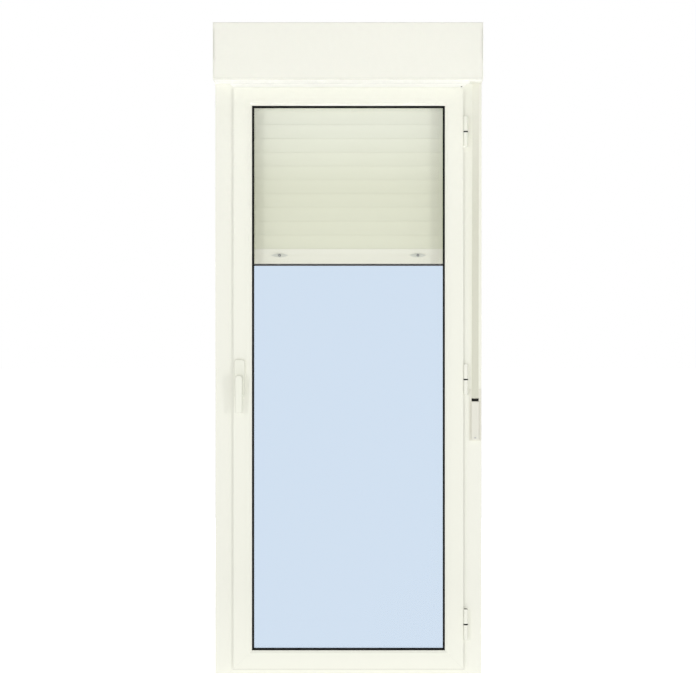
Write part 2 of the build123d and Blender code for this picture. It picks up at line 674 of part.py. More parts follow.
def hinge_half(plate_x, plate_side, arm_back):
    """Barrel, neck, arm and screw plate of one hinge half, from above. The plate stands on its wall."""
    arm_front = arm_back - HINGE_PLATE
    neck_left = HINGE_X - HINGE_NECK / 2
    neck_right = HINGE_X + HINGE_NECK / 2
    far_x = plate_x + plate_side * HINGE_PLATE
    plate_low, plate_high = min(plate_x, far_x), max(plate_x, far_x)
    plan = Pos(HINGE_X, HINGE_Y) * Circle(HINGE_RADIUS)
    plan += rectangle(neck_left, HINGE_Y, neck_right, arm_back)
    plan += rectangle(plate_low, arm_front, neck_right, arm_back)
    plan += rectangle(plate_low, arm_front, plate_high, arm_back + HINGE_PLATE_DEPTH)
    return plan


def frame_hinge(height):
    """Lower hinge half on the frame, with the pin."""
    top = height - HINGE_WASHER / 2
    plan = hinge_half(FRAME_HALF - FRAME_TUBE, -1, INSIDE - HINGE_ARM_GAP)
    half = upright(plan, top - HINGE_KNUCKLE, top)
    pin = Circle(PIN_RADIUS)
    return half + upright(Pos(HINGE_X, HINGE_Y) * pin, top, top + HINGE_WASHER + PIN_LENGTH)


def leaf_hinge(height):
    """Upper hinge half on the leaf, bored for the pin."""
    foot = height + HINGE_WASHER / 2 + HINGE_SLIP
    plan = hinge_half(FRAME_HALF - TUBE_EDGE, 1, INSIDE - HINGE_ARM_GAP)
    half = upright(plan, foot, foot + HINGE_KNUCKLE)
    bore = Pos(HINGE_X, HINGE_Y) * Circle(PIN_RADIUS + PIN_CLEAR)
    return half - upright(bore, foot, foot + PIN_LENGTH + PIN_RADIUS)


def hinge_washers():
    """Black washers between the hinge halves."""
    section = Pos(HINGE_X, HINGE_Y) * (Circle(HINGE_RADIUS) - Circle(PIN_RADIUS + PIN_CLEAR))
    washers = []
    for height in HINGE_HEIGHTS:
        washers.append(upright(section, height - HINGE_WASHER / 2, height + HINGE_WASHER / 2))
    return Compound(children=washers)


def handle_plane(stand_off):
    """Plane square to the handle's axis, this far in front of the leaf. Its own Y is up."""
    return Plane(
        origin=(HANDLE_X, LEAF_FACE - stand_off, HANDLE_HEIGHT), x_dir=(1, 0, 0), z_dir=(0, -1, 0)
    )


def handle_base():
    """Rounded handle base, bored for the spindle."""
    outline = RectangleRounded(HANDLE_BASE_WIDTH, HANDLE_BASE_HEIGHT, HANDLE_BASE_CORNER)
    base = extrude(handle_plane(0) * outline, amount=HANDLE_BASE_THICK)
    front = base.faces().sort_by(Axis.Y)[0]
    base = chamfer(front.edges(), HANDLE_BASE_BEVEL)
    bore = handle_plane(HANDLE_BASE_THICK) * Circle(SPINDLE_RADIUS + SPINDLE_CLEAR)
    return base - extrude(bore, amount=-(SPINDLE_DEPTH + LEVER_SLIP))


def lever_blank():
    """The grip: its tapered outline from the front and its wedge from the side, both at once."""
    back = HANDLE_BASE_THICK + LEVER_STAND_OFF
    head, tip = LEVER_HEAD_RADIUS, LEVER_TIP_WIDTH / 2
    outline = Polygon(
        (-head, 0), (-tip, -LEVER_REACH), (tip, -LEVER_REACH), (head, 0), align=None
    )
    outline = fillet(outline.vertices().group_by(Axis.Y)[0], LEVER_TIP_ROUND) + Circle(head)
    grip = extrude(handle_plane(back) * outline, amount=2 * LEVER_THICK)
    near = LEAF_FACE - back
    wedge = Polygon(
        (near, head), (near - LEVER_THICK, head), (near - LEVER_TIP_THICK, -LEVER_REACH),
        (near, -LEVER_REACH), align=None,
    )
    return grip & along_x(Pos(0, HANDLE_HEIGHT) * wedge, 2 * head, HANDLE_X)


def handle_lever():
    """Lever that hangs down from its neck, with bevelled front edges and a spindle into the base."""
    lever = lever_blank()
    front = lever.faces().sort_by(Axis.Y)[0]
    lever = chamfer(front.edges(), LEVER_BEVEL)
    seat = HANDLE_BASE_THICK + LEVER_SLIP
    reach = LEVER_STAND_OFF - LEVER_SLIP + LEVER_THICK / 2
    lever += extrude(handle_plane(seat) * Circle(LEVER_NECK_RADIUS), amount=reach)
    return lever + extrude(handle_plane(seat) * Circle(SPINDLE_RADIUS), amount=-SPINDLE_DEPTH)


def drain_slots(sill):
    """Cuts the two slots in the sill's outdoor face that let rainwater out."""
    reach = FRAME_HALF - DRAIN_END
    for x in (-reach, reach):
        spot = Pos(x, OUTSIDE, FRAME_TUBE / 2)
        sill -= spot * Box(DRAIN_LENGTH, 2 * WALL, DRAIN_WIDTH)
    return sill


def frame_members():
    """The four mitred lengths of the fixed frame, with the jambs drilled for the wall screws."""
    sides = ring(frame_section(), FRAME_TUBE + FRAME_LIP)
    return {
        "frame_left_jamb": fixing_holes(sides["left"]),
        "frame_right_jamb": fixing_holes(sides["right"]),
        "frame_head": sides["top"],
        "frame_sill": drain_slots(sides["bottom"]),
    }


def right_post():
    """Right post, with a pocket behind the winder's window and cover."""
    half = POCKET_WIDTH / 2
    pocket = block(
        (STRAP_X - half, INSIDE, COVER_TOP - COVER_LENGTH + COVER_WALL),
        (STRAP_X + half, INSIDE + WALL, WINDOW_TOP),
    )
    return side_post(1) - pocket


def leaf_members():
    """The four mitred lengths of the leaf and its four glazing beads."""
    names = {
        "left": "leaf_lock_stile", "right": "leaf_hinge_stile",
        "top": "leaf_top_rail", "bottom": "leaf_bottom_rail",
    }
    bars = ring(leaf_section(), SIGHT_EDGE)
    beads = ring(bead_section(), SIGHT_EDGE)
    pieces = {names[side]: bars[side] for side in names}
    pieces.update({f"glazing_bead_{side}": beads[side] for side in names})
    return pieces


def door():
    """Every piece of the door by name."""
    pieces = {
        **frame_members(),
        "left_side_post": side_post(-1),
        "right_side_post": right_post(),
        "left_shutter_guide": shutter_guide(-1),
        "right_shutter_guide": shutter_guide(1),
        "guide_brushes": guide_brushes(),
        "frame_gasket": frame_gasket(),
        "box_front_lid": box_lid(),
        "box_top_panel": box_top(),
        "box_back_panel": box_back(),
        "box_bottom_panel": box_bottom(),
        "box_left_cap": box_cap(-1),
        "box_right_cap": box_cap(1),
        "shutter_axle": shutter_axle(),
        "shutter_roll": shutter_roll(),
        "shutter_slats": shutter_slats(),
        "shutter_bottom_bar": bottom_bar(),
        "shutter_bottom_seal": bottom_seal(),
        "shutter_stops": shutter_stops(),
        "strap_guide": strap_guide(),
        "lifting_strap": lifting_strap(),
        "winder_plate": winder_plate(),
        "winder_cover": winder_cover(),
        "hinge_washers": hinge_washers(),
        **leaf_members(),
        "leaf_gasket": leaf_gasket(),
        "inner_glass_gasket": joined_ring(inner_gasket_section(), SIGHT_EDGE + GASKET_SHOW),
        "outer_glass_gasket": joined_ring(outer_gasket_section(), SIGHT_EDGE),
        "inner_glass_pane": pane(GLASS_IN),
        "outer_glass_pane": pane(GLASS_OUT - PANE),
        "glass_spacer": joined_ring(spacer_section(), SIGHT_EDGE),
        "handle_base": handle_base(),
        "handle_lever": handle_lever(),
    }
    for place, height in zip(("bottom", "middle", "top"), HINGE_HEIGHTS):
        pieces[f"{place}_hinge_frame_half"] = frame_hinge(height)
        pieces[f"{place}_hinge_leaf_half"] = leaf_hinge(height)
    return pieces


os.makedirs("parts", exist_ok=True)
for name, shape in door().items():
    export_step(shape, f"parts/{name}.step")
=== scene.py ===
import math

import bmesh
import bpy
from mathutils import Matrix, Vector


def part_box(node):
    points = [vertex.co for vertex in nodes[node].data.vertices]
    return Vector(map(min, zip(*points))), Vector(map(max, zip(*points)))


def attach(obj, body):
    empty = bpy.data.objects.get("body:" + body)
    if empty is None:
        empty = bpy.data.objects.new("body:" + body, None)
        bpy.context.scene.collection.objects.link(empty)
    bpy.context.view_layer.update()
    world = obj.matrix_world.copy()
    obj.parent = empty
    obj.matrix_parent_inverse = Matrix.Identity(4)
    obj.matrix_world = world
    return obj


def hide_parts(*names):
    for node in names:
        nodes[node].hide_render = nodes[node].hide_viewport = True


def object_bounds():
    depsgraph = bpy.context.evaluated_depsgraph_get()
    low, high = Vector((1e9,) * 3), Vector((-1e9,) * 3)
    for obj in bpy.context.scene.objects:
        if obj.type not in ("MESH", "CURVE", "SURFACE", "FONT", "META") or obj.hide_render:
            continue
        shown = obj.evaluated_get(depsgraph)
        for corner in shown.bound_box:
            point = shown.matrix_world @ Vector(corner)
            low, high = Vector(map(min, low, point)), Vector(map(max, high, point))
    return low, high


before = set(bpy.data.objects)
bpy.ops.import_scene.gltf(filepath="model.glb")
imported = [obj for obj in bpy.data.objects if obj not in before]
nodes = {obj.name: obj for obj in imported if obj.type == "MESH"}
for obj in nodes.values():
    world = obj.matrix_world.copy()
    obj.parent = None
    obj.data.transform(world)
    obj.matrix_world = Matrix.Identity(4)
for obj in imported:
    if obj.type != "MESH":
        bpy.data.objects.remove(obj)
cad_low, cad_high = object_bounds()

# Fixed frame
# Four lengths of hollow aluminium profile, mitred and crimped at the corners. The lacquer is
# sprayed on as powder and baked, so it is off-white with a faint orange peel and a soft gloss.


class Shade:
    """A value on its way through a material's nodes. Arithmetic on it adds Math nodes."""

    def __init__(self, tree, socket=None):
        self.tree = tree
        self.socket = socket

    def add(self, kind, settings=None, sockets=None, out=0):
        """Adds a node of any kind: its settings first, then the values or links of its sockets."""
        node = self.tree.nodes.new("ShaderNode" + kind)
        for name, value in (settings or {}).items():
            setattr(node, name, value)
        for name, value in (sockets or {}).items():
            if isinstance(value, Shade):
                self.tree.links.new(value.socket, node.inputs[name])
            else:
                node.inputs[name].default_value = value
        return Shade(self.tree, node.outputs[out] if node.outputs else None)

    def math(self, operation, first, second=0.0):
        return self.add("Math", {"operation": operation}, {0: first, 1: second})

    def __add__(self, other):
        return self.math("ADD", self, other)

    def __sub__(self, other):
        return self.math("SUBTRACT", self, other)

    def __rsub__(self, other):
        return self.math("SUBTRACT", other, self)

    def __mul__(self, other):
        return self.math("MULTIPLY", self, other)

    def __truediv__(self, other):
        return self.math("DIVIDE", self, other)

    def __lt__(self, other):
        return self.math("LESS_THAN", self, other)

    def __gt__(self, other):
        return self.math("GREATER_THAN", self, other)

    def __abs__(self):
        return self.math("ABSOLUTE", self)

    __radd__ = __add__
    __rmul__ = __mul__

    def axis(self, letter):
        """One coordinate of a place."""
        return self.add("SeparateXYZ", None, {0: self}, out=letter)

    def noise(self, per_metre, detail=2.0, stretch=(1.0, 1.0, 1.0)):
        """Cloudy values about a half, this many lumps to the metre."""
        place = self.add("Mapping", None, {"Vector": self, "Scale": stretch})
        sockets = {"Vector": place, "Scale": per_metre, "Detail": detail}
        return self.add("TexNoise", None, sockets)

    def between(self, first, second):
        """A colour that goes from the first to the second as this value goes from 0 to 1."""
        return self.add("Mix", {"data_type": "RGBA"}, {0: self, 6: first, 7: second}, out=2)

    def relief(self, depth, strength):
        """A bumpy normal from this value as a height, with its depth in metres."""
        return self.add("Bump", None, {"Strength": strength, "Distance": depth, "Height": self})

    def surface(self, sockets):
        """Ends the material in a surface with these sockets."""
        shader = self.add("BsdfPrincipled", None, sockets)
        self.add("OutputMaterial", None, {"Surface": shader})


def new_finish(name):
    """An empty material, and the place on the piece, in metres, that it is drawn by."""
    material = bpy.data.materials.new(name)
    material.use_nodes = True
    material.node_tree.nodes.clear()
    return material, Shade(material.node_tree).add("TexCoord", out="Object")


def toned(colour, share):
    """A colour brought down, or up, to a share of its light."""
    return (*(share * part for part in colour[:3]), 1.0)


def lacquer(name, colour, corner_half=None, corner_height=None, shadow_top=None):
    """Baked lacquer, paler at the foot and duller up under the box, as painted light and shade.

    Given the outer rectangle of mitred lengths, it shows their corner joints. Given a height,
    it has a painted shadow line just below it.
    """
    peel_per_metre, peel_depth, peel_strength = 650.0, 0.00005, 0.25
    cloud_per_metre, cloud_tone = 4.0, 0.985
    rough, rough_spread, rough_per_metre = 0.30, 0.10, 81.25
    lit_foot_reach, lit_foot_tone = 0.30, 1.07
    shaded_top_from, shaded_top_reach, shaded_top_tone = 1.80, 0.17, 0.92
    joint_width, joint_tone = 0.0002, 0.85
    shadow_width, shadow_tone = 0.003, 0.70
    material, place = new_finish(name)
    rise = place.axis("Z")
    # Painted light makes the foot paler, and painted shade makes the top duller.
    foot = rise.add("Clamp", None, {"Value": 1 - rise / lit_foot_reach})
    top = rise.add("Clamp", None, {"Value": (rise - shaded_top_from) / shaded_top_reach})
    tone = place.noise(cloud_per_metre).between(colour, toned(colour, cloud_tone))
    tone = foot.between(tone, toned(colour, lit_foot_tone))
    tone = top.between(tone, toned(colour, shaded_top_tone))
    if corner_half:
        inwards = corner_half - abs(place.axis("X"))
        from_end = rise.math("MINIMUM", rise, corner_height - rise)
        joint = abs(inwards - from_end) < joint_width
        tone = joint.between(tone, toned(colour, joint_tone))
    # A painted shadow line lies just below the given height.
    if shadow_top:
        shadow_line = abs(rise - (shadow_top - shadow_width / 2)) < shadow_width / 2
        tone = shadow_line.between(tone, toned(colour, shadow_tone))
    place.surface({
        "Base Color": tone,
        "Roughness": rough + rough_spread * place.noise(rough_per_metre),
        "Normal": place.noise(peel_per_metre).relief(peel_depth, peel_strength),
    })
    return material


def paint(material, *names):
    """Gives CAD nodes their finish."""
    for name in names:
        nodes[name].data.materials.clear()
        nodes[name].data.materials.append(material)


FRAME_WHITE = (0.857, 0.859, 0.770, 1.0)
# The head is painted paler than the rest of the frame: painted light in the shade of the box.
HEAD_LIT_WHITE = (0.970, 0.972, 0.922, 1.0)
frame_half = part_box("frame_head")[1].x
frame_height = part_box("frame_head")[1].z
leaf_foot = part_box("leaf_bottom_rail")[0].z
frame_lacquer = lacquer("frame_lacquer", FRAME_WHITE, frame_half, frame_height)
paint(frame_lacquer, "frame_left_jamb", "frame_right_jamb")
# The sill carries a painted shadow line just below the foot of the leaf.
sill_lacquer = lacquer("sill_lacquer", FRAME_WHITE, frame_half, frame_height, leaf_foot)
paint(sill_lacquer, "frame_sill")
head_lit_lacquer = lacquer("head_lit_lacquer", HEAD_LIT_WHITE, frame_half, frame_height)
paint(head_lit_lacquer, "frame_head")

# Frame seal
# Black rubber extruded as one ring and pressed on the closing lip of the frame. It is matt, with
# a fine dusty grain.


def rubber(name, grey, rough):
    """Black rubber, or plastic as black, with a fine dusty grain."""
    grain_per_metre, grain_depth, grain_strength = 900.0, 0.00004, 0.4
    patches_per_metre, dust_and_shade_tone = 30.0, 1.8
    rough_spread, gloss = 0.1, 0.12
    material, place = new_finish(name)
    black = (grey, grey, grey, 1.0)
    patches = place.noise(patches_per_metre)
    place.surface({
        "Base Color": patches.between(black, toned(black, dust_and_shade_tone)),
        "Roughness": rough + rough_spread * patches,
        "Specular IOR Level": gloss,
        "Normal": place.noise(grain_per_metre).relief(grain_depth, grain_strength),
    })
    return material


SEAL_BLACK = 0.003
SEAL_ROUGH = 0.55
black_rubber = rubber("black_rubber", SEAL_BLACK, SEAL_ROUGH)
paint(black_rubber, "frame_gasket")

# Side posts
# Aluminium lengths that widen the frame on both sides, in the same lacquer. The right one is
# pocketed for the strap winder, and both are drilled for the wall screws.
post_lacquer = lacquer("post_lacquer", FRAME_WHITE)
paint(post_lacquer, "left_side_post", "right_side_post")

# Shutter guides
# Extruded aluminium channels on the outdoor face of the posts. Strips of grey plush in their
# grooves keep the slats from rattling.
paint(post_lacquer, "left_shutter_guide", "right_shutter_guide")

PLUSH_DARK = (0.10, 0.10, 0.10, 1.0)
PLUSH_PALE = (0.30, 0.30, 0.29, 1.0)
PLUSH_ROUGH = 0.95
FIBRES_PER_METRE = 2600.0
FIBRE_DETAIL = 3.0
FIBRE_STRETCH = (1.0, 0.08, 1.0)
FIBRE_DEPTH = 0.0004
FIBRE_STRENGTH = 0.8
plush, plush_place = new_finish("grey_plush")
fibres = plush_place.noise(FIBRES_PER_METRE, FIBRE_DETAIL, FIBRE_STRETCH)
plush_place.surface({
    "Base Color": fibres.between(PLUSH_DARK, PLUSH_PALE),
    "Roughness": PLUSH_ROUGH,
    "Normal": fibres.relief(FIBRE_DEPTH, FIBRE_STRENGTH),
})
paint(plush, "guide_brushes")

# Shutter box
# Hollow panels of extruded plastic between two moulded end caps. The front lid clips on, and a
# shallow relief at each of its ends gives the fingers a hold.


def extruded_plastic(name, colour, rough, shade_below=None):
    """Plastic from a long die, with lines along its length and a silky gloss.

    Given a height, it carries painted shade up to there.
    """
    lines_per_metre, lines_detail, lines_stretch = 500.0, 2.0, (0.01, 1.0, 1.0)
    lines_depth, lines_strength = 0.00003, 0.2
    cloud_per_metre, cloud_tone = 3.0, 0.98
    rough_spread, dust_and_shade_tone = 0.08, 0.925
    material, place = new_finish(name)
    lines = place.noise(lines_per_metre, lines_detail, lines_stretch)
    tone = place.noise(cloud_per_metre).between(colour, toned(colour, cloud_tone))
    if shade_below:
        shade_band = place.axis("Z") < shade_below
        tone = shade_band.between(tone, toned(colour, dust_and_shade_tone))
    place.surface({
        "Base Color": tone,
        "Roughness": rough + rough_spread * lines,
        "Normal": lines.relief(lines_depth, lines_strength),
    })
    return material


BOX_WHITE = (0.868, 0.868, 0.783, 1.0)
# The underside of the box is painted paler than the rest: painted light from below.
UNDERSIDE_LIT_WHITE = (0.97, 0.97, 0.93, 1.0)
BOX_ROUGH = 0.38
LID_SHADE_HEIGHT = 0.0070
lid_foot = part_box("box_front_lid")[0].z
box_plastic = extruded_plastic("box_plastic", BOX_WHITE, BOX_ROUGH)
paint(box_plastic, "box_top_panel", "box_back_panel", "box_left_cap", "box_right_cap")
# The lid carries a band of painted shade along its lower edge.
lid_plastic = extruded_plastic("lid_plastic", BOX_WHITE, BOX_ROUGH, lid_foot + LID_SHADE_HEIGHT)
paint(lid_plastic, "box_front_lid")
underside_lit_plastic = extruded_plastic("underside_lit_plastic", UNDERSIDE_LIT_WHITE, BOX_ROUGH)
paint(underside_lit_plastic, "box_bottom_panel")

# Axle
# Eight-sided tube of galvanised sheet that the shutter winds on, with plugs and pins in its ends
# and the drum of the strap. The zinc shows as grey spangle.
ZINC_DARK = (0.42, 0.43, 0.44, 1.0)
ZINC_PALE = (0.62, 0.63, 0.64, 1.0)
ZINC_ROUGH = 0.35
ZINC_ROUGH_SPREAD = 0.3
SPANGLE_PER_METRE = 140.0
zinc, zinc_place = new_finish("galvanised_steel")
cells = {"Vector": zinc_place, "Scale": SPANGLE_PER_METRE}
spangle = zinc_place.add("TexVoronoi", None, cells)
zinc_place.surface({
    "Base Color": spangle.between(ZINC_DARK, ZINC_PALE),
    "Metallic": 1.0,
    "Roughness": ZINC_ROUGH + ZINC_ROUGH_SPREAD * spangle,
})
paint(zinc, "shutter_axle")

# Shutter curtain
# Bowed slats, a cream skin filled with foam, that hook into each other. The last bar is extruded
# aluminium, thicker and paler, with a line along it and a black rubber foot.


def slat_lacquer(name, colour, low_tone, low, high):
    """Cream lacquer with lines from the rollers, darker low down and paler higher up, in patches.
    """
    lines_per_metre, lines_detail, lines_stretch = 700.0, 2.0, (0.006, 1.0, 1.0)
    lines_depth, lines_strength = 0.00004, 0.25
    patches_per_metre, patch_detail, patch_stretch = 9.0, 3.0, (0.5, 1.0, 1.0)
    patch_spread, patch_middle = 0.15, 0.5
    rough, rough_spread = 0.42, 0.12
    material, place = new_finish(name)
    lines = place.noise(lines_per_metre, lines_detail, lines_stretch)
    patches = place.noise(patches_per_metre, patch_detail, patch_stretch)
    rise = (place.axis("Z") - low) / (high - low)
    upper_share = rise.add("Clamp", None, {"Value": rise + patch_spread * (patches - patch_middle)})
    place.surface({
        "Base Color": upper_share.between(low_tone, colour),
        "Roughness": rough + rough_spread * lines,
        "Normal": lines.relief(lines_depth, lines_strength),
    })
    return material


SLAT_CREAM = (0.90, 0.885, 0.765, 1.0)
SLAT_PAINTED_SHADE = (0.755, 0.740, 0.582, 1.0)
BAR_CREAM = (0.86, 0.83, 0.72, 1.0)
BAR_LOW_TONE = (0.82, 0.79, 0.675, 1.0)
SLAT_SHADE_FROM = 1.65
SLAT_SHADE_TO = 1.93
# On the slats, paler up by the box and darker low down is a painted gradient of light and shade.
slat_finish = slat_lacquer("slat_lacquer", SLAT_CREAM, SLAT_PAINTED_SHADE, SLAT_SHADE_FROM, SLAT_SHADE_TO)
paint(slat_finish, "shutter_slats", "shutter_roll")
bar_low, bar_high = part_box("shutter_bottom_bar")
bar_finish = slat_lacquer("bar_lacquer", BAR_CREAM, BAR_LOW_TONE, bar_low.z, bar_high.z)
paint(bar_finish, "shutter_bottom_bar")
paint(black_rubber, "shutter_bottom_seal")

# Shutter stops
# Two moulded stops with pointed wings, held on the bottom bar by a screw in a dark rubber buffer.
# They catch the box when the shutter is wound right up.


def moulded_plastic(name, colour, rough):
    """Injection-moulded plastic with a fine spark-eroded grain."""
    grain_per_metre, grain_depth, grain_strength = 1300.0, 0.00003, 0.3
    cloud_per_metre, cloud_tone = 25.0, 0.96
    rough_spread = 0.1
    material, place = new_finish(name)
    grain = place.noise(grain_per_metre)
    place.surface({
        "Base Color": place.noise(cloud_per_metre).between(colour, toned(colour, cloud_tone)),
        "Roughness": rough + rough_spread * grain,
        "Normal": grain.relief(grain_depth, grain_strength),
    })
    return material


def add_piece(name, mesh, material, body):
    """Puts a mesh drawn in the row frame into the scene, on its body."""
    crease = 35.0
    piece = bpy.data.objects.new(name, mesh)
    bpy.context.scene.collection.objects.link(piece)
    mesh.materials.clear()
    mesh.materials.append(material)
    mesh.shade_smooth()
    mesh.set_sharp_from_angle(angle=math.radians(crease))
    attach(piece, body)
    return piece


def finished(name, shape):
    """The mesh of a finished shape."""
    mesh = bpy.data.meshes.new(name)
    shape.to_mesh(mesh)
    shape.free()
    return mesh


def join_rings(shape, rings):
    """Faces between each ring of points and the next."""
    for low, high in zip(rings, rings[1:]):
        for step in range(len(low)):
            after = (step + 1) % len(low)
            shape.faces.new((low[step], low[after], high[after], high[step]))


def turned(profile, place, steps=32):
    """A mesh turned from (radius, height) points about the Z of a place. The ends are closed."""
    shape = bmesh.new()
    rings = []
    for radius, height in profile:
        ring = []
        for step in range(steps):
            angle = 2 * math.pi * step / steps
            point = Vector((radius * math.cos(angle), radius * math.sin(angle), height))
            ring.append(shape.verts.new(place @ point))
        rings.append(ring)
    join_rings(shape, rings)
    shape.faces.new(reversed(rings[0]))
    shape.faces.new(rings[-1])
    return finished("turned", shape)


def facing(point, direction):
    """A place at a point, with its Z along a direction."""
    turn = Vector(direction).to_track_quat("Z", "Y").to_matrix().to_4x4()
    return Matrix.Translation(Vector(point)) @ turn


def screw_head(radius, height, place):
    """A pan head with a cross recess, standing on the XY of a place."""
    rim_steps, floor_steps, edge_steps = 28, 16, 2
    edge = height / 4
    arm, width, floor = 0.58 * radius, 0.13 * radius, 0.3 * height
    floor_radius = 1.2 * arm
    outline = bpy.data.curves.new("screw", "CURVE")
    outline.dimensions = "2D"
    outline.fill_mode = "BOTH"
    outline.extrude = height / 2 - edge
    outline.bevel_depth = edge
    outline.bevel_resolution = edge_steps
    outline.offset = -edge
    turns = [2 * math.pi * step / rim_steps for step in range(rim_steps)]
    rim = [(radius * math.cos(turn), radius * math.sin(turn)) for turn in turns]
    quarter = [(arm, -width), (arm, width), (width, width)]
    cross = []
    for _ in range(4):
        cross += quarter
        quarter = [(-y, x) for x, y in quarter]
    for loop in (rim, cross):
        spline = outline.splines.new("POLY")
        spline.points.add(len(loop) - 1)
        for point, (x, y) in zip(spline.points, loop):
            point.co = (x, y, 0.0, 1.0)
        spline.use_cyclic_u = True
    holder = bpy.data.objects.new("screw", outline)
    mesh = bpy.data.meshes.new_from_object(holder)
    bpy.data.objects.remove(holder)
    shape = bmesh.new()
    shape.from_mesh(mesh)
    bmesh.ops.translate(shape, vec=(0, 0, height / 2), verts=shape.verts)
    bottom = bmesh.ops.create_circle(
        shape, cap_ends=True, segments=floor_steps, radius=floor_radius
    )
    bmesh.ops.translate(shape, vec=(0, 0, floor), verts=bottom["verts"])
    bmesh.ops.transform(shape, matrix=place, verts=shape.verts)
    shape.to_mesh(mesh)
    shape.free()
    return mesh


STOP_GREY = (0.64, 0.63, 0.56, 1.0)
STOP_ROUGH = 0.4
STOP_ACROSS = 0.236
INDOORS = (0, -1, 0)
BUFFER_RADIUS = 0.0042
BUFFER_SHOULDER = 0.0014
BUFFER_RIM = 0.00357
BUFFER_BORE = 0.002604
BUFFER_HEIGHT = 0.0020
STOP_SCREW = 0.0024
STOP_SCREW_HEIGHT = 0.0008
STEEL_DARK = (0.45, 0.45, 0.44, 1.0)
STEEL_PALE = (0.66, 0.66, 0.65, 1.0)
STEEL_ROUGH = 0.28
STEEL_ROUGH_SPREAD = 0.2
WEAR_PER_METRE = 1500.0
stop_plastic = moulded_plastic("stop_plastic", STOP_GREY, STOP_ROUGH)
paint(stop_plastic, "shutter_stops")
screw_steel, screw_place = new_finish("screw_steel")
wear = screw_place.noise(WEAR_PER_METRE)
screw_place.surface({
    "Base Color": wear.between(STEEL_DARK, STEEL_PALE),
    "Metallic": 1.0,
    "Roughness": STEEL_ROUGH + STEEL_ROUGH_SPREAD * wear,
})
stop_low, stop_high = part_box("shutter_stops")
stop_z = (stop_low.z + stop_high.z) / 2
buffer = [
    (BUFFER_RADIUS, 0.0), (BUFFER_RADIUS, BUFFER_SHOULDER), (BUFFER_RIM, BUFFER_HEIGHT),
    (BUFFER_BORE, BUFFER_HEIGHT),
]
for name, x in (("left", -STOP_ACROSS), ("right", STOP_ACROSS)):
    seat = facing((x, stop_low.y, stop_z), INDOORS)
    add_piece(name + "_stop_buffer", turned(buffer, seat), black_rubber, "frame")
    head = facing((x, stop_low.y - BUFFER_HEIGHT, stop_z), INDOORS)
    screw = screw_head(STOP_SCREW, STOP_SCREW_HEIGHT, head)
    add_piece(name + "_stop_screw", screw, screw_steel, "frame")

# Strap eye and lifting strap
# A plastic eye under the box leads the woven strap, 22 mm wide, from the drum down to the winder.
# The weave is a tight rib with a cord in each edge.
EYE_WHITE = (0.78, 0.78, 0.70, 1.0)
EYE_ROUGH = 0.4
paint(moulded_plastic("eye_plastic", EYE_WHITE, EYE_ROUGH), "strap_guide")

WEBBING_PALE = (0.735, 0.735, 0.615, 1.0)
WEBBING_DARK = (0.610, 0.610, 0.510, 1.0)
WEBBING_LIT = (0.765, 0.765, 0.665, 1.0)
WEBBING_ROUGH = 0.85
LIT_FROM = 1.55
LIT_REACH = 0.35
RIB_PITCH = 0.0011
PICK_PITCH = 0.0014
WEAVE_MIDDLE = 0.5
WEAVE_SWING = 0.25
WEAVE_SHARE = 0.6
YARN_SHARE = 0.4
WEAVE_DEPTH = 0.0003
WEAVE_STRENGTH = 0.7
YARN_PER_METRE = 220.0
YARN_DETAIL = 3.0
YARN_STRETCH = (4.0, 4.0, 0.3)
webbing, webbing_place = new_finish("woven_webbing")
height = webbing_place.axis("Z")
across = webbing_place.axis("X") * (2 * math.pi / RIB_PITCH)
along = height * (2 * math.pi / PICK_PITCH)
rib = across.math("SINE", across)
pick = along.math("SINE", along)
weave = WEAVE_MIDDLE + WEAVE_SWING * rib + WEAVE_SWING * rib * pick
yarn = webbing_place.noise(YARN_PER_METRE, YARN_DETAIL, YARN_STRETCH)
weave_tone = (WEAVE_SHARE * weave + YARN_SHARE * yarn).between(WEBBING_DARK, WEBBING_PALE)
# Painted light makes the strap paler towards the top, under the box.
lit_top = height.add("Clamp", None, {"Value": (height - LIT_FROM) / LIT_REACH})
webbing_place.surface({
    "Base Color": lit_top.between(weave_tone, WEBBING_LIT),
    "Roughness": WEBBING_ROUGH,
    "Normal": weave.relief(WEAVE_DEPTH, WEAVE_STRENGTH),
})

STRAP_THICK = 0.0013
SELVEDGE = 0.0009
EDGE_ROUND = 0.0003
CORD_HALF = 0.000715
RIM_HALF = 0.00065
WEB_HALF = 0.000494
BEND_RISE = 0.0065
TAIL_RISE = 0.0005
SHARPEST_MITRE = 0.5
strap_low, strap_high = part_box("lifting_strap")
winder_low, winder_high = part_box("winder_plate")
strap_middle = (strap_low.x + strap_high.x) / 2
strap_half = (strap_high.x - strap_low.x) / 2
strap_front = strap_low.y + STRAP_THICK / 2
eye_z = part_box("strap_guide")[0].z
route = [
    Vector((strap_front, strap_high.z)),
    Vector((strap_front, eye_z)),
    Vector((winder_low.y - STRAP_THICK, strap_low.z + BEND_RISE)),
    Vector((strap_high.y, strap_low.z + TAIL_RISE)),
]
half_section = [
    (strap_half, 0.0), (strap_half - EDGE_ROUND, CORD_HALF), (strap_half - SELVEDGE, RIM_HALF),
    (strap_half - 2 * SELVEDGE, WEB_HALF), (0.0, WEB_HALF),
]
upper = half_section + [(-u, v) for u, v in reversed(half_section[:-1])]
section = upper + [(u, -v) for u, v in reversed(upper[1:-1])]
shape = bmesh.new()
rings = []
for index, spot in enumerate(route):
    before = (spot - route[index - 1]).normalized() if index else None
    after = (route[index + 1] - spot).normalized() if index + 1 < len(route) else before
    before = before or after
    run = (before + after).normalized()
    outwards = Vector((run.y, -run.x)) / max(SHARPEST_MITRE, run.dot(after))
    ring = []
    for u, v in section:
        point = spot + v * outwards
        ring.append(shape.verts.new((strap_middle + u, point.x, point.y)))
    rings.append(ring)
join_rings(shape, rings)
shape.faces.new(rings[0])
shape.faces.new(reversed(rings[-1]))
bmesh.ops.recalc_face_normals(shape, faces=shape.faces)
strap = add_piece("strap_webbing", finished("strap", shape), webbing, "frame")
strap.visible_shadow = False
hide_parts("lifting_strap")
